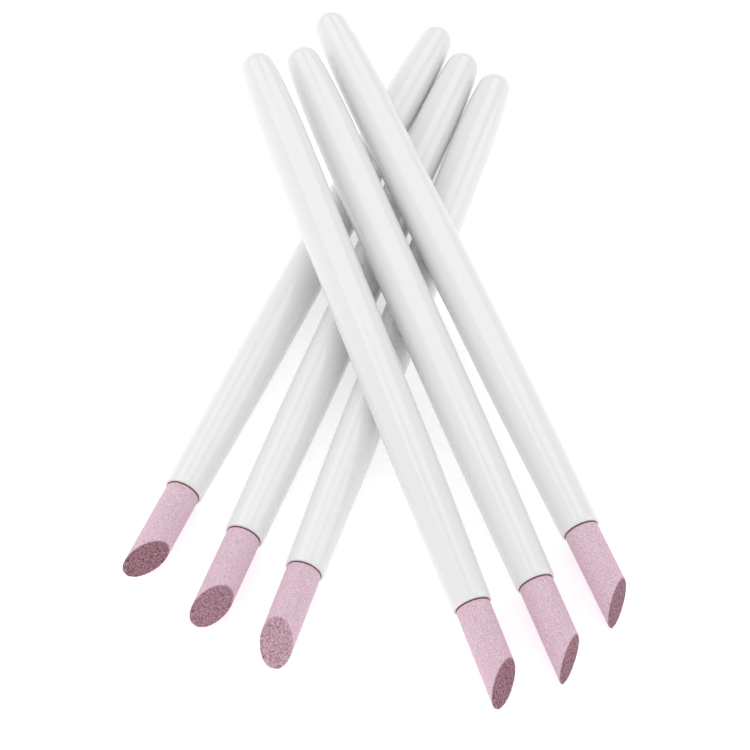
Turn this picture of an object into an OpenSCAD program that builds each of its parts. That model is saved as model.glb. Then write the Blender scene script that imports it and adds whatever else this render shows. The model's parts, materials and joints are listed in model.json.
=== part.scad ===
// Set of six stone-tipped sticks, crossed three over three.
// Each stick is a hollow moulded handle with an abrasive stone rod glued into its mouth.
// Lengths are in millimetres. A stick's own frame has its axis along +Z, from domed end to tip.

/* [Handle] */
// Length of the handle, from its domed end to its mouth
handle_len = 105; // [85:1:140]
// Diameter of the straight middle of the handle
handle_d = 7.1; // [6.5:0.1:10]
// Diameter of the ball that the closed end is rounded to
end_d = 5.6; // [4.8:0.1:6]
// Angle at which the handle starts to widen from its domed end
end_angle = 6.5; // [5:0.5:12]
// Distance from the domed end to where the straight middle starts
belly_start = 22; // [16:0.5:22.5]
// Distance from the domed end to where the straight middle stops
belly_end = 80; // [40:1:100]
// Solid plastic left at the domed end
end_wall = 2.5; // [1.5:0.1:5]

/* [Socket] */
// Depth of the socket that takes the stone
socket_depth = 10; // [6:0.5:20]
// Width of the ledge that stops the spigot at the bottom of the socket
ledge = 0.3; // [0.1:0.05:0.6]
// How far the mouth of the handle stands out around the stone
lip_out = 0.4; // [0.2:0.05:0.8]
// How far the edge of the mouth is drawn in
lip_draw = 0.15; // [0.05:0.01:0.3]
// Length of the drawn-in edge
lip_len = 0.8; // [0.3:0.1:2]
// Thickness of the glue around the spigot and under the stone's shoulder
glue_gap = 0.15; // [0.1:0.01:0.3]

/* [Stone] */
// Diameter of the stone where it shows
stone_d = 5.5; // [4.6:0.1:6.8]
// How far the stone steps in, all round, to the spigot that is glued into the handle
spigot_step = 0.45; // [0.2:0.05:0.8]
// Length of stone that stands out of the handle
stone_out = 16.3; // [12:0.1:30]
// Length of the slanted cut, measured along the stone
cut_len = 5.7; // [3:0.1:10]
// Radius that the thin end of the cut is worn to
nose_r = 0.1; // [0.1:0.05:1]

/* [Lower row] */
// Headings of the lower sticks, left to right, from straight ahead; each is below the next
lower_heading = [-23.3, -20.2, -17.8]; // [-30:0.1:-15]
// How far each lower stick is rolled, left to right, from its cut facing up
lower_roll = [62, 45, -13]; // [-180:1:180]
// How much further back the left and the middle stick reach than the next one
lower_step = [4.2, 3]; // [0:0.1:10]
// Gap between neighbouring lower handles
lower_gap = 0.3; // [0.25:0.05:3]

/* [Upper row] */
// Headings of the upper sticks, left to right, from straight ahead; each is below the next
upper_heading = [19.7, 21, 22.6]; // [15:0.1:30]
// How far each upper stick is rolled, left to right, from its cut facing up
upper_roll = [53, 69, 65]; // [-180:1:180]
// Distance from each upper stick's domed end to its crossing with the prop stick
upper_cross = [61.1, 49.7, 45.4]; // [35:0.1:65]
// Distance from the prop stick's domed end to the upper right stick
prop_cross = 40.3; // [35:0.1:60]
// Gaps between neighbouring upper handles where they cross the prop stick
upper_gap = [2.2, 1.5]; // [1:0.1:10]
// Clear height between the prop stick and the sticks that lean on it
rest_gap = 0.1; // [0.05:0.01:0.5]

/* [Hidden] */
STICKS = ["upper_left", "upper_middle", "upper_right", "lower_left", "lower_middle", "lower_right"];
PIECES = ["handle", "glue", "stone"];
$fn = 64;

// Slack by which a cutting solid runs past the faces that it opens
over = 1;
// Steps in which the rounded stretches of the handle and the nose are drawn
round_steps = 8;
// Step in which the rim of a cut is followed to find the sides of the set
rim_step = 15;

stick_len = handle_len + stone_out;
socket_end = handle_len - socket_depth;
spigot_d = stone_d - 2 * spigot_step;
socket_d = spigot_d + 2 * glue_gap;
core_d = spigot_d - 2 * ledge;
mouth_d = stone_d + 2 * lip_out;
widest_d = max(handle_d, mouth_d);

// ---- Where the sticks lie ----

// Direction in plan of a heading, where 0 runs along -Y
function ahead(h) = [sin(h), -cos(h)];
// Direction in plan to the left of a heading, seen from the stones
function leftward(h) = [-cos(h), -sin(h)];

// The lower right stick props up the upper row, so the layout starts at its domed end
prop_heading = lower_heading[2];

// Plan position of the domed end of a lower stick, each laid beside the one to its right
function lower_start(j) = j == 2 ? [0, 0] :
    lower_start(j + 1)
    + ahead(lower_heading[j + 1]) * (belly_start - lower_step[j])
    + leftward(lower_heading[j + 1]) * (widest_d + lower_gap)
    - ahead(lower_heading[j]) * belly_start;

// Angle in plan between an upper stick and the prop stick
function cross_angle(j) = upper_heading[j] - prop_heading;
// Distance along the prop stick to where an upper stick crosses it
function prop_at(j) = j == 2 ? prop_cross :
    prop_at(j + 1) + (widest_d + upper_gap[j]) / sin(cross_angle(j));

// Distance from the domed end to the corner of the cut that an upper stick rests on
function rest_len(j) = stick_len - cut_back(upper_roll[j]);
// How far the rim of the cut is set back from the tip, at an angle round from the nose
function cut_back(turn) = cut_len * (1 - cos(turn)) / 2;
// Slope of an upper stick whose axis is at a height where it crosses the prop stick
function lean_at(j, height) = asin((height - stone_d / 2) / (rest_len(j) - upper_cross[j]));
// Shortest distance between two crossing axes, as a share of the height between them
function slant(lean, turn) = cos(lean) * sin(turn) / sqrt(1 - pow(cos(lean) * cos(turn), 2));
// Height of an upper stick's axis where it crosses the prop stick
function cross_height(j) =
    let (first_lean = lean_at(j, 1.5 * widest_d))
    widest_d / 2 + (widest_d + rest_gap) / slant(first_lean, cross_angle(j));
function upper_lean(j) = lean_at(j, cross_height(j));

// Unit vector from the domed end of any stick towards its tip
function along(i) =
    let (lean = lean(i), flat = ahead(heading(i)))
    [cos(lean) * flat.x, cos(lean) * flat.y, -sin(lean)];
function heading(i) = i < 3 ? upper_heading[i] : lower_heading[i - 3];
function lean(i) = i < 3 ? upper_lean(i) : 0;
function roll(i) = i < 3 ? upper_roll[i] : lower_roll[i - 3];
// Position of the domed end of any stick, before the set is centred
function start(i) = i < 3 ? upper_start(i) : [each lower_start(i - 3), widest_d / 2];
function upper_start(j) =
    let (spot = ahead(prop_heading) * prop_at(j))
    [spot.x, spot.y, cross_height(j)] - along(j) * upper_cross[j];

// Plan direction from a stick's axis to its surface, at an angle round from the nose
function outward(i, turn) =
    let (a = turn - roll(i), h = heading(i), fall = cos(a) * sin(lean(i)))
    [sin(a) * cos(h) - fall * sin(h), sin(a) * sin(h) + fall * cos(h)];
// Plan position of the rim of a cut, at an angle round from the nose
function rim(i, turn) =
    let (middle = start(i) + along(i) * (stick_len - cut_back(turn)))
    [middle.x, middle.y] + outward(i, turn) * stone_d / 2;

// The set is centred on the sides of its box, which the domed ends and the cuts touch
backs = [for (i = [0:5]) start(i) + along(i) * end_d / 2];
rims = [for (i = [0:5]) for (turn = [0:rim_step:360 - rim_step]) rim(i, turn)];
left_edge = min([for (p = rims) p.x]);
right_edge = max([for (p = rims) p.x]);
back_edge = max([for (p = backs) p.y]) + end_d / 2;
front_edge = min([for (p = rims) p.y]);
centre = [(left_edge + right_edge) / 2, (back_edge + front_edge) / 2, 0];

// Moves a piece from a stick's own frame to where that stick lies
module lay(i) {
    translate(start(i) - centre)
    rotate([0, 0, heading(i) - 90])
    rotate([0, 90 + lean(i), 0])
    rotate([0, 0, -roll(i)])
    children();
}

// ---- Handle ----

// Where the ball of the closed end meets the widening stretch
ball_edge = [end_d / 2 * cos(end_angle), end_d / 2 * (1 - sin(end_angle))];
// Corner of the quadratic curve that widens the handle to its full diameter
swell_corner = [
    handle_d / 2,
    ball_edge[1] + (handle_d / 2 - ball_edge[0]) / tan(end_angle)
];
belly_edge = [handle_d / 2, belly_start];

function curve(a, corner, b, t) =
    a * pow(1 - t, 2) + corner * 2 * t * (1 - t) + b * pow(t, 2);

// Half of the handle's lengthways section, as [radius, distance from the domed end]
ball_points = [
    for (k = [0:round_steps - 1])
    let (turn = k * (90 - end_angle) / round_steps)
    end_d / 2 * [sin(turn), 1 - cos(turn)]
];
swell_points = [
    for (k = [0:round_steps]) curve(ball_edge, swell_corner, belly_edge, k / round_steps)
];
mouth_points = [
    [handle_d / 2, belly_end],
    [mouth_d / 2, handle_len - lip_len],
    [mouth_d / 2 - lip_draw, handle_len],
    [0, handle_len]
];

// Closed outer form of the handle
module handle_form() {
    rotate_extrude()
    polygon(concat(ball_points, swell_points, mouth_points));
}

// Hollow core with a round blind end
module core() {
    core_start = end_wall + core_d / 2;
    translate([0, 0, core_start])
    cylinder(h = socket_end - core_start + over, d = core_d);
    translate([0, 0, core_start])
    sphere(d = core_d);
}

// Wider bore at the mouth, whose end stops the spigot
module socket() {
    translate([0, 0, socket_end])
    cylinder(h = socket_depth + over, d = socket_d);
}

module handle() {
    color([0.93, 0.93, 0.93])
    difference() {
        handle_form();
        core();
        socket();
    }
}

// ---- Glue ----

// Set glue: a sleeve around the spigot and a film under the stone's shoulder
module glue() {
    color([0.42, 0.22, 0.2])
    difference() {
        union() {
            translate([0, 0, socket_end])
            cylinder(h = socket_depth, d = socket_d);
            translate([0, 0, handle_len])
            cylinder(h = glue_gap, d = stone_d);
        }
        translate([0, 0, socket_end - over])
        cylinder(h = socket_depth + glue_gap + 2 * over, d = spigot_d);
    }
}

// ---- Stone ----

// Side view of the cut end, as [across the stone, distance from the domed end].
// The slope runs from the near side of the stone down to a nose at its far side.
nose_centre = [stone_d / 2 - nose_r, stick_len - nose_r];
cut_top = [-stone_d / 2, stick_len - cut_len];
cut_run = nose_centre - cut_top;
// Angle of the slope that starts at cut_top and just touches the nose
cut_angle = atan2(cut_run.y, cut_run.x) + asin(nose_r / norm(cut_run));
nose_points = [
    for (k = [0:round_steps])
    let (turn = k * (90 + cut_angle) / round_steps)
    nose_centre + nose_r * [cos(turn), sin(turn)]
];

// Everything in side view that the slanted cut leaves standing
module cut_profile() {
    side = stone_d / 2 + over;
    polygon(concat(
        [[-side, socket_end - over], [side, socket_end - over], [side, nose_centre.y]],
        nose_points,
        [cut_top - over * [1, tan(cut_angle)]]
    ));
}

// Stone rod before it is cut: the spigot and the full rod that stands on the glue film
module stone_rod() {
    stone_start = handle_len + glue_gap;
    translate([0, 0, socket_end])
    cylinder(h = stone_start - socket_end + over, d = spigot_d);
    translate([0, 0, stone_start])
    cylinder(h = stick_len - stone_start, d = stone_d);
}

module stone() {
    color([0.85, 0.71, 0.78])
    intersection() {
        stone_rod();
        rotate([90, 0, 0])
        linear_extrude(height = stone_d + 2 * over, center = true)
        cut_profile();
    }
}

for (i = [0:5]) {
    lay(i) handle();
    lay(i) glue();
    lay(i) stone();
}
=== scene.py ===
"""Stone-tipped stick set: six slim white handles, crossed three over three.

Each stick is a hollow moulded handle with an abrasive stone rod glued into its mouth. Every
piece is modelled once in a stick's own frame, with its axis along +Z from the domed end to the
tip and the slanted cut facing -X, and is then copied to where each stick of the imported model
lies. Lengths are in metres.
"""

import json
import math

import bpy
from bpy.props import FloatProperty, FloatVectorProperty, PointerProperty
from mathutils import Matrix, Vector

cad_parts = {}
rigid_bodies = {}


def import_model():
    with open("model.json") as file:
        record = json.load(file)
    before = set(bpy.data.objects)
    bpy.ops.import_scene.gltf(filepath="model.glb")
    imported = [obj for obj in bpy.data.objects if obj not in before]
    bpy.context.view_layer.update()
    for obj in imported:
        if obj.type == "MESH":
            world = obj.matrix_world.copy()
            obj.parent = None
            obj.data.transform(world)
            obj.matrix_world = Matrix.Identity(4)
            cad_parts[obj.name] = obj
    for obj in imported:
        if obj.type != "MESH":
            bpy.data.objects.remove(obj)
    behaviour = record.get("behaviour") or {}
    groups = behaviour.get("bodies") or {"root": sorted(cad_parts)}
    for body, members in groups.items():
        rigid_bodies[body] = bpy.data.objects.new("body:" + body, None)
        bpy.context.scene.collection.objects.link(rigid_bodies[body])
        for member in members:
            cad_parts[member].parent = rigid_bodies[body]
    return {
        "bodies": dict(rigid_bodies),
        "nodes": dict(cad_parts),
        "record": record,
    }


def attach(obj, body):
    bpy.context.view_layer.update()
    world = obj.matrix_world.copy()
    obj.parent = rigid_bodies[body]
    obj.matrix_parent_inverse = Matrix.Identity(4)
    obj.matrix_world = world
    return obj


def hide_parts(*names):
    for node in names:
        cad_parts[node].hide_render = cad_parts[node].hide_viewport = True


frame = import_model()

bl_info = {
    "name": "Stone-tipped Stick Set",
    "version": (1, 0, 0),
    "blender": (4, 5, 0),
    "location": "View3D > Sidebar > Sticks",
    "description": "Builds six stone-tipped sticks on a packed frame, with materials and stage",
    "category": "Object",
}

MM = 0.001
STICKS = sorted(frame["bodies"])
MOUNTS = {mount["name"]: mount for mount in frame["record"]["mounts"]}


# ---- Where the sticks lie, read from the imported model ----


def points(node):
    """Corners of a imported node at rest."""
    return [v.co.copy() for v in frame["nodes"][node].data.vertices]


def axis_of(stick):
    """Unit vector from a stick's domed end to its tip."""
    return Vector(MOUNTS[stick + "_stone_pin"]["axis"]).normalized()


def reach(node, stick):
    """Nearest and farthest distance of a node along its stick, from the middle of its stone."""
    middle = Vector(MOUNTS[stick + "_stone_pin"]["pos_m"])
    steps = [(p - middle).dot(axis_of(stick)) for p in points(node)]
    return min(steps), max(steps)


def placement(stick):
    """Matrix from the stick's own frame to where it lies, with its nose turned the right way."""
    axis = axis_of(stick)
    middle = Vector(MOUNTS[stick + "_stone_pin"]["pos_m"])
    start = middle + axis * reach(stick + "_handle", stick)[0]
    tip = reach(stick + "_stone", stick)[1]
    corners = [point - middle for point in points(stick + "_stone")]
    nose = [corner for corner in corners if corner.dot(axis) > tip - NOSE_BAND]
    side = sum(nose, Vector()) / len(nose)
    side = (side - axis * side.dot(axis)).normalized()
    turn = Matrix((side, axis.cross(side), axis)).transposed()
    return Matrix.Translation(start) @ turn.to_4x4()


# Corners this close to the tip belong to the nose
NOSE_BAND = 0.1 * MM
FIRST = STICKS[0]
HANDLE_REACH = reach(FIRST + "_handle", FIRST)
STONE_REACH = reach(FIRST + "_stone", FIRST)
HANDLE_LENGTH = HANDLE_REACH[1] - HANDLE_REACH[0]
STONE_OUT = STONE_REACH[1] - HANDLE_REACH[1]
SPIGOT_LENGTH = HANDLE_REACH[1] - STONE_REACH[0]
STONE_RADIUS = MOUNTS[FIRST + "_stone_pin"]["dims"]["r_mm"] * MM
HANDLE_RADIUS = MOUNTS[FIRST + "_handle_grip"]["dims"]["r_mm"] * MM
GLUE_FILM = STONE_OUT - MOUNTS[FIRST + "_stone_pin"]["dims"]["length_mm"] * MM
BELLY_LENGTH = MOUNTS[FIRST + "_handle_grip"]["dims"]["length_mm"] * MM
BELLY_MIDDLE = (
    Vector(MOUNTS[FIRST + "_handle_grip"]["pos_m"]) - Vector(MOUNTS[FIRST + "_stone_pin"]["pos_m"])
).dot(axis_of(FIRST)) - HANDLE_REACH[0]


def linear(code):
    """Linear colour of an sRGB hex code."""
    parts = [int(code[i : i + 2], 16) / 255 for i in (0, 2, 4)]
    return tuple(c / 12.92 if c <= 0.04045 else ((c + 0.055) / 1.055) ** 2.4 for c in parts)


def length(name, description, default):
    """A length that a user may change."""
    return FloatProperty(
        name=name, description=description, default=default, min=0.0, precision=5, unit="LENGTH"
    )


def colour(name, description, code):
    """A colour that a user may change."""
    return FloatVectorProperty(
        name=name, description=description, default=linear(code), min=0.0, max=1.0, subtype="COLOR"
    )


# ---- What a user may change ----


class HandleSizes(bpy.types.PropertyGroup):
    """Sizes of the moulded handle."""

    length: length("Length", "From the domed end to the mouth", HANDLE_LENGTH)
    radius: length("Radius", "Of the straight middle", HANDLE_RADIUS)
    end_radius: length("End radius", "Of the ball that the closed end is rounded to", 2.8 * MM)
    end_angle: FloatProperty(
        name="End angle",
        description="At which the handle starts to widen from its domed end",
        default=math.radians(6.5),
        subtype="ANGLE",
    )
    belly_start: length(
        "Middle start", "Where the straight middle starts", BELLY_MIDDLE - BELLY_LENGTH / 2
    )
    belly_end: length(
        "Middle end", "Where the straight middle stops", BELLY_MIDDLE + BELLY_LENGTH / 2
    )
    end_wall: length("End wall", "Solid plastic left at the domed end", 2.5 * MM)
    core_radius: length("Core radius", "Of the hollow inside", 2.0 * MM)
    socket_radius: length("Socket radius", "Of the bore that takes the stone", 2.45 * MM)
    socket_depth: length("Socket depth", "Of the bore that takes the stone", SPIGOT_LENGTH)
    mouth_radius: length("Mouth radius", "Just behind the mouth", 3.15 * MM)
    lip_radius: length("Lip radius", "Of the flat ring of the mouth", 2.98 * MM)
    lip_length: length("Lip length", "Of the rounded edge of the mouth", 0.8 * MM)


class StoneSizes(bpy.types.PropertyGroup):
    """Sizes of the abrasive stone and its glue."""

    radius: length("Radius", "Of the stone where it shows", STONE_RADIUS)
    out: length("Out", "Length that stands out of the handle", STONE_OUT)
    cut_length: length("Cut length", "Of the slanted cut, along the stone", 5.7 * MM)
    nose_radius: length("Nose radius", "Of the thin end of the cut", 0.1 * MM)
    spigot_radius: length("Spigot radius", "Of the stone inside the handle", 2.3 * MM)
    grain_depth: length("Grain depth", "How deep the grain of the sides goes", 0.05 * MM)
    pore_depth: length("Pore depth", "How deep the pores of the cut go", 0.1 * MM)
    glue_film: length("Glue film", "Thickness of the glue under the shoulder", GLUE_FILM)
    glue_bead: length("Glue bead", "How far the glue is squeezed out past the stone", 0.02 * MM)


class Finishes(bpy.types.PropertyGroup):
    """Colours of the materials."""

    plastic: colour("Plastic", "Moulded white plastic", "E6E6E6")
    plastic_dull: colour("Plastic, dull", "Where the white plastic has flowed cold", "E4E4E4")
    stone_light: colour("Stone, light", "Bond of the abrasive stone", "E5CBD7")
    stone_mid: colour("Stone, middle", "Grains of the abrasive stone", "CAA9B9")
    # Dark grit of the sides; on the cut the same colour is painted shade in the pores
    stone_grit_and_pore_shade: colour("Stone, dark", "Dark grit in the abrasive stone", "5F3340")
    # Darker than the ground face's own colour: partly its own colour, partly painted shade of the
    # cut
    stone_cut_and_shade: colour("Stone, cut", "Ground face of the cut", "B28894")
    # A paler colour drawn into patches of the cut, more on some sticks than on others
    stone_cut_pale: colour("Stone, dust", "Grinding dust in the pores of the cut", "D6B4C2")
    # Dark red-brown, which draws the thin dark line at the joint of stone and handle
    glue: colour("Glue", "Set adhesive", "7E3F39")
    floor: colour("Floor", "Studio floor", "E7E7E7")


# ---- Modelling helpers ----


def activate(obj):
    """Leaves only this object selected, and makes it the active one."""
    if bpy.context.object and bpy.context.object.mode != "OBJECT":
        bpy.ops.object.mode_set(mode="OBJECT")
    bpy.ops.object.select_all(action="DESELECT")
    obj.select_set(True)
    bpy.context.view_layer.objects.active = obj


def turned(name, outline, sides, closed=False):
    """Extrudes a ring along an outline of (radius, height) pairs. The ends are filled, or a closed
    outline is joined to its own start."""
    bpy.ops.object.select_all(action="DESELECT")
    radius, height = outline[0]
    bpy.ops.mesh.primitive_circle_add(
        vertices=sides,
        radius=radius,
        fill_type="NOTHING" if closed else "NGON",
        location=(0, 0, height),
    )
    obj = bpy.context.object
    obj.name = name
    bpy.ops.object.transform_apply(location=True, rotation=True, scale=True)
    bpy.ops.object.mode_set(mode="EDIT")
    bpy.ops.mesh.select_all(action="SELECT")
    for (r0, z0), (r1, z1) in zip(outline, outline[1:]):
        bpy.ops.mesh.extrude_region_move(TRANSFORM_OT_translate={"value": (0, 0, z1 - z0)})
        bpy.ops.transform.resize(value=(r1 / r0, r1 / r0, 1), center_override=(0, 0, z1))
    bpy.ops.mesh.select_all(action="SELECT")
    bpy.ops.mesh.remove_doubles(threshold=MERGE)
    bpy.ops.mesh.normals_make_consistent(inside=False)
    bpy.ops.object.mode_set(mode="OBJECT")
    return obj


# Corners closer than this are one corner
MERGE = 1e-7


def curve(a, corner, b, steps):
    """Points of a quadratic curve after its first point."""
    a, corner, b = Vector(a), Vector(corner), Vector(b)
    shares = [k / steps for k in range(1, steps + 1)]
    return [tuple(a * (1 - t) ** 2 + corner * 2 * t * (1 - t) + b * t**2) for t in shares]


def finish_modifiers(obj):
    """Applies every modifier of an object, in order."""
    activate(obj)
    for modifier in list(obj.modifiers):
        bpy.ops.object.modifier_apply(modifier=modifier.name)


def keep_own_frame(obj):
    """Stores each corner's place in the stick's own frame, in millimetres, for the materials."""
    attribute = obj.data.attributes.new("stick_mm", "FLOAT_VECTOR", "POINT")
    values = [c / MM for v in obj.data.vertices for c in v.co]
    attribute.data.foreach_set("vector", values)


def lay_out(master, piece, material, finish=None):
    """Copies a piece of one stick to all of them, each copy on its own mesh, and removes it."""
    for number, stick in enumerate(STICKS):
        activate(master)
        bpy.ops.object.duplicate(linked=False)
        obj = bpy.context.object
        obj.name = f"{stick}_{piece}_skin"
        obj.data.name = obj.name
        obj.data.transform(placement(stick))
        for name, value in (("stick_number", float(number)), ("pale_share", PALE_CUT_SHARES[stick])):
            own = obj.data.attributes.new(name, "FLOAT", "POINT")
            own.data.foreach_set("value", [value] * len(obj.data.vertices))
        if finish:
            finish(obj)
        obj.data.materials.clear()
        obj.data.materials.append(material)
        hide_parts(f"{stick}_{piece}")
        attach(obj, stick)
    activate(master)
    bpy.ops.object.delete()


# Share of the cut that is drawn paler in patches, on each stick
PALE_CUT_SHARES = {
    "lower_left": 0.0,
    "lower_middle": 0.3,
    "lower_right": 1.0,
    "upper_left": 0.0,
    "upper_middle": 0.0,
    "upper_right": 0.0,
}


# ---- Materials ----


def new_material(name):
    """An empty node material with its output, and its tree."""
    material = bpy.data.materials.new(name)
    material.use_nodes = True
    material.node_tree.nodes.clear()
    return material, material.node_tree


def add(tree, kind, place, inputs=(), **settings):
    """Adds a node at a place, with its settings, and its inputs set to values or linked."""
    node = tree.nodes.new(kind)
    node.location = place
    for name, value in settings.items():
        setattr(node, name, value)
    for socket, value in dict(inputs).items():
        if isinstance(value, bpy.types.NodeSocket):
            tree.links.new(value, node.inputs[socket])
        else:
            node.inputs[socket].default_value = value
    return node


def rgba(value):
    """A colour with full alpha."""
    return (*value, 1.0)


def plastic_material(finishes):
    """Polystyrene, injection moulded in a polished tool: a clean white gloss that is very slightly
    uneven, with the shallow waves that the cooling wall leaves under the surface."""
    material, tree = new_material("polystyrene_moulded_white")
    own = add(tree, "ShaderNodeAttribute", (-1400, 0), attribute_name="stick_mm")
    number = add(tree, "ShaderNodeAttribute", (-1400, -300), attribute_name="stick_number")
    stretch = add(
        tree,
        "ShaderNodeMapping",
        (-1200, 0),
        {"Vector": own.outputs["Vector"], "Scale": [1 / side for side in FLOW_MARK]},
    )
    flow = add(
        tree,
        "ShaderNodeTexNoise",
        (-1000, 0),
        {
            "Vector": stretch.outputs["Vector"],
            "W": number.outputs["Fac"],
            "Scale": 1.0,
            "Detail": 2.0,
            "Roughness": 0.5,
        },
        noise_dimensions="4D",
    )
    tint = add(
        tree,
        "ShaderNodeMix",
        (-700, 150),
        {
            "Factor": flow.outputs["Fac"],
            "A": rgba(finishes.plastic),
            "B": rgba(finishes.plastic_dull),
        },
        data_type="RGBA",
    )
    gloss = add(
        tree,
        "ShaderNodeMapRange",
        (-700, -100),
        {"Value": flow.outputs["Fac"], "To Min": 0.10, "To Max": 0.16},
    )
    peel = add(
        tree,
        "ShaderNodeTexNoise",
        (-1000, -350),
        {
            "Vector": own.outputs["Vector"],
            "Scale": 1 / PEEL_PITCH,
            "Detail": 1.0,
            "Roughness": 0.4,
        },
    )
    skin = add(
        tree,
        "ShaderNodeBump",
        (-500, -350),
        {"Height": peel.outputs["Fac"], "Strength": 0.25, "Distance": PEEL_DEPTH},
    )
    wave = add(
        tree,
        "ShaderNodeBump",
        (-300, -350),
        {
            "Height": flow.outputs["Fac"],
            "Strength": 0.5,
            "Distance": WAVE_DEPTH,
            "Normal": skin.outputs["Normal"],
        },
    )
    shader = add(
        tree,
        "ShaderNodeBsdfPrincipled",
        (0, 0),
        {
            "Base Color": tint.outputs["Result"],
            "Roughness": gloss.outputs["Result"],
            "Normal": wave.outputs["Normal"],
            "IOR": 1.55,
        },
    )
    add(tree, "ShaderNodeOutputMaterial", (300, 0), {"Surface": shader.outputs["BSDF"]})
    return material


# Sides of a mark that the cooling plastic leaves, in millimetres, drawn out along the handle
FLOW_MARK = (3, 3, 14)
WAVE_DEPTH = 0.01 * MM
# Pitch in millimetres, and depth, of the fine peel on a moulded skin
PEEL_PITCH = 0.8
PEEL_DEPTH = 0.004 * MM


def stone_material(finishes):
    """Alumina grit in a ceramic bond, fired and dry: pink, dead matt and sandy. The cut is drawn
    darker, partly its own ground face and partly painted shade, and its pores are painted dark as
    shade in their hollows; patches of the cut are drawn paler again, more on some sticks than
    others."""
    material, tree = new_material("alumina_abrasive_fired_pink")
    own = add(tree, "ShaderNodeAttribute", (-1800, 0), attribute_name="stick_mm")
    number = add(tree, "ShaderNodeAttribute", (-1800, -300), attribute_name="stick_number")
    cut = add(tree, "ShaderNodeAttribute", (-1800, 300), attribute_name="cut")
    pale_share = add(tree, "ShaderNodeAttribute", (-1000, 850), attribute_name="pale_share")
    grain = add(
        tree,
        "ShaderNodeTexNoise",
        (-1500, 200),
        {
            "Vector": own.outputs["Vector"],
            "W": number.outputs["Fac"],
            "Scale": 1 / GRAIN_PITCH,
            "Detail": 3.0,
            "Roughness": 0.65,
        },
        noise_dimensions="4D",
    )
    sand = add(
        tree,
        "ShaderNodeMapRange",
        (-1250, 200),
        {"Value": grain.outputs["Fac"], "From Min": 0.38, "From Max": 0.62},
    )
    body = add(
        tree,
        "ShaderNodeMix",
        (-1000, 200),
        {
            "Factor": sand.outputs["Result"],
            "A": rgba(finishes.stone_mid),
            "B": rgba(finishes.stone_light),
        },
        data_type="RGBA",
    )
    # A dark speck sits in the middle of each chosen cell, and fades out towards its edge
    cells = add(
        tree,
        "ShaderNodeTexVoronoi",
        (-1500, -100),
        {
            "Vector": own.outputs["Vector"],
            "W": number.outputs["Fac"],
            "Scale": 1 / SPECK_PITCH,
        },
        voronoi_dimensions="4D",
    )
    draw = add(
        tree, "ShaderNodeSeparateColor", (-1300, -100), {"Color": cells.outputs["Color"]}
    )
    chosen = add(
        tree,
        "ShaderNodeMapRange",
        (-1100, -100),
        {"Value": draw.outputs["Red"], "From Min": 0.5, "From Max": 0.8},
    )
    speck = add(
        tree,
        "ShaderNodeMapRange",
        (-1100, -350),
        {
            "Value": cells.outputs["Distance"],
            "From Min": 0.2,
            "From Max": 0.5,
            "To Min": SPECK_STRENGTH,
            "To Max": 0.0,
        },
    )
    dots = add(
        tree,
        "ShaderNodeMath",
        (-850, -200),
        {0: chosen.outputs["Result"], 1: speck.outputs["Result"]},
        operation="MULTIPLY",
    )
    specked = add(
        tree,
        "ShaderNodeMix",
        (-650, 100),
        {
            "Factor": dots.outputs["Value"],
            "A": body.outputs["Result"],
            "B": rgba(finishes.stone_grit_and_pore_shade),
        },
        data_type="RGBA",
    )
    # Pores of the cut, painted dark as shade in their hollows
    pores = add(
        tree,
        "ShaderNodeTexNoise",
        (-1500, 550),
        {
            "Vector": own.outputs["Vector"],
            "Scale": 1 / PORE_PITCH,
            "Detail": 3.0,
            "Roughness": 0.75,
        },
    )
    pore_shade_share = add(
        tree,
        "ShaderNodeMapRange",
        (-1250, 550),
        {"Value": pores.outputs["Fac"], "From Min": 0.42, "From Max": 0.58},
    )
    # The cut's colour, darkened partly as painted shade, with the painted shade of its pores
    ground_cut_and_shade = add(
        tree,
        "ShaderNodeMix",
        (-1000, 550),
        {
            "Factor": pore_shade_share.outputs["Result"],
            "A": rgba(finishes.stone_grit_and_pore_shade),
            "B": rgba(finishes.stone_cut_and_shade),
        },
        data_type="RGBA",
    )
    # Paler patches on the cut, more on some sticks than on others
    patches = add(
        tree,
        "ShaderNodeMath",
        (-850, 750),
        {0: pale_share.outputs["Fac"], 1: sand.outputs["Result"]},
        operation="MULTIPLY",
    )
    paled_cut = add(
        tree,
        "ShaderNodeMix",
        (-700, 550),
        {
            "Factor": patches.outputs["Value"],
            "A": ground_cut_and_shade.outputs["Result"],
            "B": rgba(finishes.stone_cut_pale),
        },
        data_type="RGBA",
    )
    face = add(
        tree,
        "ShaderNodeMix",
        (-400, 200),
        {
            "Factor": cut.outputs["Fac"],
            "A": specked.outputs["Result"],
            "B": paled_cut.outputs["Result"],
        },
        data_type="RGBA",
    )
    rough = add(
        tree,
        "ShaderNodeBump",
        (-400, -200),
        {"Height": grain.outputs["Fac"], "Strength": 0.9, "Distance": GRAIN_HEIGHT},
    )
    shader = add(
        tree,
        "ShaderNodeBsdfPrincipled",
        (0, 0),
        {
            "Base Color": face.outputs["Result"],
            "Roughness": 0.92,
            "Normal": rough.outputs["Normal"],
            "IOR": 1.5,
        },
    )
    add(tree, "ShaderNodeOutputMaterial", (300, 0), {"Surface": shader.outputs["BSDF"]})
    return material


# Pitches in millimetres. Grit of 0.25 mm is drawn a little coarser than the real 0.15 mm, so that
# # it shows, and the dark specks and the painted shade of the open pores between the grains follow
# its size.
GRAIN_PITCH = 0.25
SPECK_PITCH = 0.28
PORE_PITCH = 0.24
SPECK_STRENGTH = 0.22
GRAIN_HEIGHT = 0.05 * MM


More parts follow.
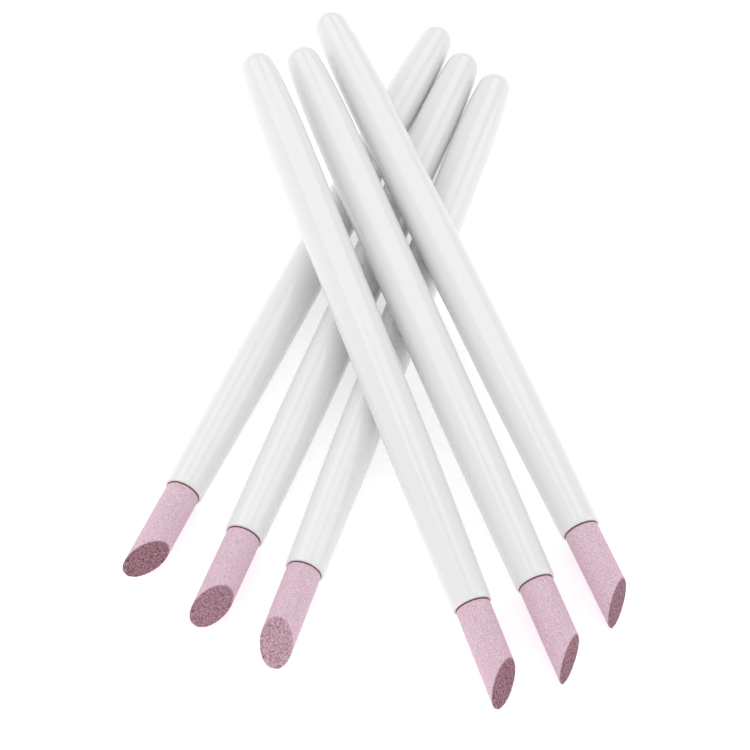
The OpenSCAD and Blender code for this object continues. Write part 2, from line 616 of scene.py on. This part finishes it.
def glue_material(finishes):
    """Contact adhesive, set: half glossy, with lumps and thin places, drawn dark red-brown so that
    the joint shows a thin dark red-brown line.
    """
    material, tree = new_material("contact_adhesive_set")
    own = add(tree, "ShaderNodeAttribute", (-1000, 0), attribute_name="stick_mm")
    lumps = add(
        tree,
        "ShaderNodeTexNoise",
        (-800, 0),
        {
            "Vector": own.outputs["Vector"],
            "Scale": 1 / LUMP_PITCH,
            "Detail": 2.0,
            "Roughness": 0.6,
        },
    )
    thick = add(
        tree,
        "ShaderNodeMix",
        (-500, 100),
        {
            "Factor": lumps.outputs["Fac"],
            "A": rgba([c * THICK_GLUE for c in finishes.glue]),
            "B": rgba([min(1.0, c * THIN_GLUE) for c in finishes.glue]),
        },
        data_type="RGBA",
    )
    wet = add(
        tree,
        "ShaderNodeMapRange",
        (-500, -150),
        {"Value": lumps.outputs["Fac"], "To Min": 0.35, "To Max": 0.6},
    )
    lumpy = add(
        tree,
        "ShaderNodeBump",
        (-500, -400),
        {"Height": lumps.outputs["Fac"], "Strength": 0.6, "Distance": LUMP_HEIGHT},
    )
    shader = add(
        tree,
        "ShaderNodeBsdfPrincipled",
        (-200, 0),
        {
            "Base Color": thick.outputs["Result"],
            "Roughness": wet.outputs["Result"],
            "Normal": lumpy.outputs["Normal"],
            "IOR": 1.5,
        },
    )
    add(tree, "ShaderNodeOutputMaterial", (100, 0), {"Surface": shader.outputs["BSDF"]})
    return material


# Pitch of the lumps in millimetres, and their height
LUMP_PITCH = 0.4
LUMP_HEIGHT = 0.03 * MM
# Brightness of thick and of thin glue, as shares of its colour
THICK_GLUE = 0.6
THIN_GLUE = 1.5


# ---- Pieces ----


class STICKSET_OT_handles(bpy.types.Operator):
    """Model the moulded handle and lay out six of them"""

    bl_idname = "stickset.handles"
    bl_label = "Handles"

    def execute(self, context):
        size = context.scene.handle_sizes
        ball = size.end_radius
        flat = math.pi / 2 - size.end_angle
        shares = [k / BALL_STEPS for k in range(BALL_STEPS + 1)]
        angles = [POLE_ANGLE + (flat - POLE_ANGLE) * share for share in shares]
        outline = [(ball * math.sin(a), ball * (1 - math.cos(a))) for a in angles]
        edge = outline[-1]
        rise = (size.radius - edge[0]) / math.tan(size.end_angle)
        outline += curve(
            edge, (size.radius, edge[1] + rise), (size.radius, size.belly_start), SWELL_STEPS
        )
        # The straight middle runs into the taper over a short soft bend
        taper = (size.radius - size.mouth_radius) / (size.length - size.lip_length - size.belly_end)
        outline += curve(
            (size.radius, size.belly_end - TAPER_BEND),
            (size.radius, size.belly_end),
            (size.radius - taper * TAPER_BEND, size.belly_end + TAPER_BEND),
            BEND_STEPS,
        )
        mouth = (size.mouth_radius, size.length - size.lip_length)
        outline.append(mouth)
        outline += curve(
            mouth, (size.mouth_radius, size.length), (size.lip_radius, size.length), EDGE_STEPS
        )
        # Down through the socket and the core, with a small round at the socket's edge
        socket, core = size.socket_radius, size.core_radius
        bottom = size.length - size.socket_depth
        outline += [(socket + SOCKET_ROUND, size.length), (socket, size.length - SOCKET_ROUND)]
        outline += [(socket, bottom), (core, bottom), (core, size.end_wall + core)]
        angles = [(math.pi / 2 - POLE_ANGLE) * share for share in shares[1:]]
        outline += [
            (core * math.cos(a), size.end_wall + core - core * math.sin(a)) for a in angles
        ]
        handle = turned("handle", outline, HANDLE_SIDES)
        bpy.ops.object.shade_smooth_by_angle(angle=CREASE_ANGLE)
        keep_own_frame(handle)
        lay_out(handle, "handle", plastic_material(context.scene.finishes))
        return {"FINISHED"}


# A round end stops at a tiny flat, this far from its pole
POLE_ANGLE = math.radians(1)
BALL_STEPS = 18
SWELL_STEPS = 16
BEND_STEPS = 10
EDGE_STEPS = 6
HANDLE_SIDES = 128
# Length on either side of a corner over which the taper bends
TAPER_BEND = 8 * MM
SOCKET_ROUND = 0.1 * MM
# Faces that meet at less than this angle are shaded as one
CREASE_ANGLE = math.radians(30)


class STICKSET_OT_stones(bpy.types.Operator):
    """Model the slant-cut abrasive stone and lay out six of them"""

    bl_idname = "stickset.stones"
    bl_label = "Stones"

    def execute(self, context):
        size = context.scene.stone_sizes
        handle = context.scene.handle_sizes
        shoulder = handle.length + size.glue_film
        tip = handle.length + size.out
        outline = [
            (size.spigot_radius, handle.length - handle.socket_depth),
            (size.spigot_radius, shoulder),
            (size.radius, shoulder),
            (size.radius, tip),
        ]
        stone = turned("stone", outline, STONE_SIDES)
        # The slanted cut just touches the round of the nose
        nose = Vector((size.radius - size.nose_radius, 0, tip - size.nose_radius))
        top = Vector((-size.radius, 0, tip - size.cut_length))
        run = nose - top
        slope = math.atan2(run.z, run.x) + math.asin(size.nose_radius / run.length)
        cut = Vector((-math.sin(slope), 0, math.cos(slope)))
        bpy.ops.object.mode_set(mode="EDIT")
        for angle in [math.degrees(slope) + 90, *NOSE_FACETS]:
            side = Vector((math.cos(math.radians(angle)), 0, math.sin(math.radians(angle))))
            bpy.ops.mesh.select_all(action="SELECT")
            bpy.ops.mesh.bisect(
                plane_co=nose + side * size.nose_radius,
                plane_no=side,
                use_fill=True,
                clear_outer=True,
            )
        bpy.ops.mesh.select_all(action="SELECT")
        bpy.ops.mesh.remove_doubles(threshold=MERGE)
        bpy.ops.mesh.normals_make_consistent(inside=False)
        bpy.ops.object.mode_set(mode="OBJECT")
        # An even net of small faces carries the grain, and its edges come out worn
        voxels = stone.modifiers.new("net", "REMESH")
        voxels.mode = "VOXEL"
        voxels.voxel_size = NET
        voxels.use_smooth_shade = True
        worn = stone.modifiers.new("worn", "SMOOTH")
        worn.factor = WEAR_SHARE
        worn.iterations = WEAR_ROUNDS
        finish_modifiers(stone)
        keep_own_frame(stone)
        mark_cut(stone, top, cut)
        lay_out(stone, "stone", stone_material(context.scene.finishes), roughen)
        return {"FINISHED"}


STONE_SIDES = 96
# Directions of the small facets that the round of the nose is cut from
NOSE_FACETS = (30, 75)
NET = 0.11 * MM
WEAR_SHARE = 0.5
WEAR_ROUNDS = 8
# The cut's own look fades out over this depth, from a quarter of it below the cut
CUT_FADE = 0.25 * MM


def mark_cut(stone, top, cut):
    """Gives each corner its share of the cut face, for the pores and the material."""
    shares = []
    for vertex in stone.data.vertices:
        depth = -(vertex.co - top).dot(cut)
        shares.append(min(1.0, max(0.0, 1 - (depth - CUT_FADE / 4) / CUT_FADE)))
    attribute = stone.data.attributes.new("cut", "FLOAT", "POINT")
    attribute.data.foreach_set("value", shares)
    group = stone.vertex_groups.new(name="cut")
    for index, share in enumerate(shares):
        if share > 0:
            group.add([index], share, "REPLACE")


def roughen(stone):
    """Sinks grain into the sides of a laid stone and pores into its cut, never outwards."""
    size = bpy.context.scene.stone_sizes
    for name, pitch, depth, group in (
        ("grain", GRAIN_RELIEF, size.grain_depth, ""),
        ("pores", PORE_RELIEF, size.pore_depth, "cut"),
    ):
        texture = bpy.data.textures.get(name) or bpy.data.textures.new(name, "CLOUDS")
        texture.noise_scale = pitch
        texture.noise_depth = 2
        sink = stone.modifiers.new(name, "DISPLACE")
        sink.texture = texture
        sink.texture_coords = "LOCAL"
        sink.mid_level = 1.0
        sink.strength = depth
        sink.vertex_group = group
    finish_modifiers(stone)
    bpy.ops.object.shade_smooth()


# Pitches of the relief that is sunk into the mesh
GRAIN_RELIEF = 0.35 * MM
PORE_RELIEF = 0.24 * MM


class STICKSET_OT_glue(bpy.types.Operator):
    """Model the glue around the spigot and under the shoulder, and lay out six of them"""

    bl_idname = "stickset.glue"
    bl_label = "Glue"

    def execute(self, context):
        size = context.scene.stone_sizes
        handle = context.scene.handle_sizes
        inner, outer = size.spigot_radius, handle.socket_radius
        mouth = handle.length
        bottom = mouth - handle.socket_depth
        outline = [(inner, bottom), (outer, bottom), (outer, mouth - SOCKET_ROUND)]
        outline += [(outer + SOCKET_ROUND, mouth)]
        outline += curve(
            (size.radius, mouth),
            (size.radius + 2 * size.glue_bead, mouth + size.glue_film / 2),
            (size.radius, mouth + size.glue_film),
            EDGE_STEPS,
        )
        outline += [(inner, mouth + size.glue_film), (inner, bottom)]
        glue = turned("glue", outline, GLUE_SIDES, closed=True)
        bpy.ops.object.shade_smooth_by_angle(angle=CREASE_ANGLE)
        keep_own_frame(glue)
        lay_out(glue, "glue", glue_material(context.scene.finishes))
        return {"FINISHED"}


GLUE_SIDES = 96


# ---- Stage ----


class STICKSET_OT_stage(bpy.types.Operator):
    """Add the pale floor, the soft studio light and the camera"""

    bl_idname = "stickset.stage"
    bl_label = "Stage"

    def execute(self, context):
        bpy.ops.object.select_all(action="DESELECT")
        bpy.ops.mesh.primitive_plane_add(size=FLOOR_SIDE)
        floor = context.object
        floor.name = "studio_floor"
        material, tree = new_material("light_table_acrylic_white")
        shader = add(
            tree,
            "ShaderNodeBsdfPrincipled",
            (0, 0),
            {
                "Base Color": rgba(context.scene.finishes.floor),
                "Roughness": 0.9,
                "IOR": 1.3,
                "Emission Color": (1, 1, 1, 1),
                "Emission Strength": TABLE_GLOW,
            },
        )
        add(tree, "ShaderNodeOutputMaterial", (300, 0), {"Surface": shader.outputs["BSDF"]})
        floor.data.materials.append(material)
        world = bpy.data.worlds.new("studio")
        context.scene.world = world
        world.use_nodes = True
        world.node_tree.nodes.clear()
        room = add(
            world.node_tree,
            "ShaderNodeBackground",
            (0, 0),
            {"Color": (1, 1, 1, 1), "Strength": ROOM_LIGHT},
        )
        add(world.node_tree, "ShaderNodeOutputWorld", (300, 0), {"Surface": room.outputs[0]})
        for name, place, width, height, glow in (*STRIPS, KEY):
            data = bpy.data.lights.new(name, "AREA")
            data.shape = "RECTANGLE"
            data.size, data.size_y = width, height
            data.energy = glow * math.pi * width * height
            light = bpy.data.objects.new(name, data)
            context.collection.objects.link(light)
            light.location = place
            light.rotation_euler = (-Vector(place)).to_track_quat("-Z", "Y").to_euler()
            light.visible_diffuse = name == KEY[0]
            light.visible_glossy = name != KEY[0]
        context.scene.view_settings.view_transform = "Standard"
        camera_data = bpy.data.cameras.new("camera")
        camera_data.sensor_width = SENSOR
        camera_data.lens = SENSOR / 2 / math.tan(VIEW_ANGLE / 2)
        camera_data.clip_start, camera_data.clip_end = 0.01, 20
        camera = bpy.data.objects.new("camera", camera_data)
        context.collection.objects.link(camera)
        back = Vector((0, -math.cos(VIEW_HEIGHT), math.sin(VIEW_HEIGHT)))
        camera.location = Vector(VIEW_TARGET) + back * VIEW_DISTANCE
        camera.rotation_euler = (-back).to_track_quat("-Z", "Y").to_euler()
        context.scene.camera = camera
        return {"FINISHED"}


FLOOR_SIDE = 6.0
ROOM_LIGHT = 0.99
# The floor is a light table, whose faint glow keeps the shadows on it pale
TABLE_GLOW = 0.42
# Name, place, width, height and glow of each strip light. They stand in a fan behind the set,
# and only their reflections show: a pair of soft bands along each handle.
STRIPS = (
    ("left strip", (-0.43, 0.42, 0.79), 0.52, 0.8, 1.3),
    ("middle strip", (0.25, 0.57, 0.78), 0.54, 0.8, 1.3),
    ("right strip", (0.81, 0.29, 0.51), 0.40, 0.8, 1.3),
)
# The same for the soft key light, whose own reflection is kept off the handles
KEY = ("key light", (-0.8, 0.4, 0.4), 0.7, 0.7, 0.6)
SENSOR = 36.0
# The camera looks along +Y, from this angle above the floor
VIEW_HEIGHT = math.radians(54.5)
VIEW_ANGLE = math.radians(14.66)
VIEW_DISTANCE = 0.4716
VIEW_TARGET = (0.00016, -0.00475, 0.0)


class STICKSET_PT_build(bpy.types.Panel):
    """Buttons and sizes of the stick set"""

    bl_idname = "STICKSET_PT_build"
    bl_label = "Stick Set"
    bl_space_type = "VIEW_3D"
    bl_region_type = "UI"
    bl_category = "Sticks"

    def draw(self, context):
        for operator in OPERATORS:
            self.layout.operator(operator.bl_idname)
        for group, _ in GROUPS:
            settings = getattr(context.scene, group)
            for name in settings.__annotations__:
                self.layout.prop(settings, name)


OPERATORS = (STICKSET_OT_handles, STICKSET_OT_stones, STICKSET_OT_glue, STICKSET_OT_stage)
GROUPS = (
    ("handle_sizes", HandleSizes),
    ("stone_sizes", StoneSizes),
    ("finishes", Finishes),
)


def register():
    for _, group in GROUPS:
        bpy.utils.register_class(group)
    for name, group in GROUPS:
        setattr(bpy.types.Scene, name, PointerProperty(type=group))
    for cls in (*OPERATORS, STICKSET_PT_build):
        bpy.utils.register_class(cls)


def unregister():
    for cls in (STICKSET_PT_build, *reversed(OPERATORS)):
        bpy.utils.unregister_class(cls)
    for name, group in reversed(GROUPS):
        delattr(bpy.types.Scene, name)
        bpy.utils.unregister_class(group)


def main():
    """Builds the whole set."""
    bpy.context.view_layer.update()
    register()
    bpy.ops.stickset.handles()
    bpy.ops.stickset.stones()
    bpy.ops.stickset.glue()
    bpy.ops.stickset.stage()


if __name__ == "__main__":
    main()
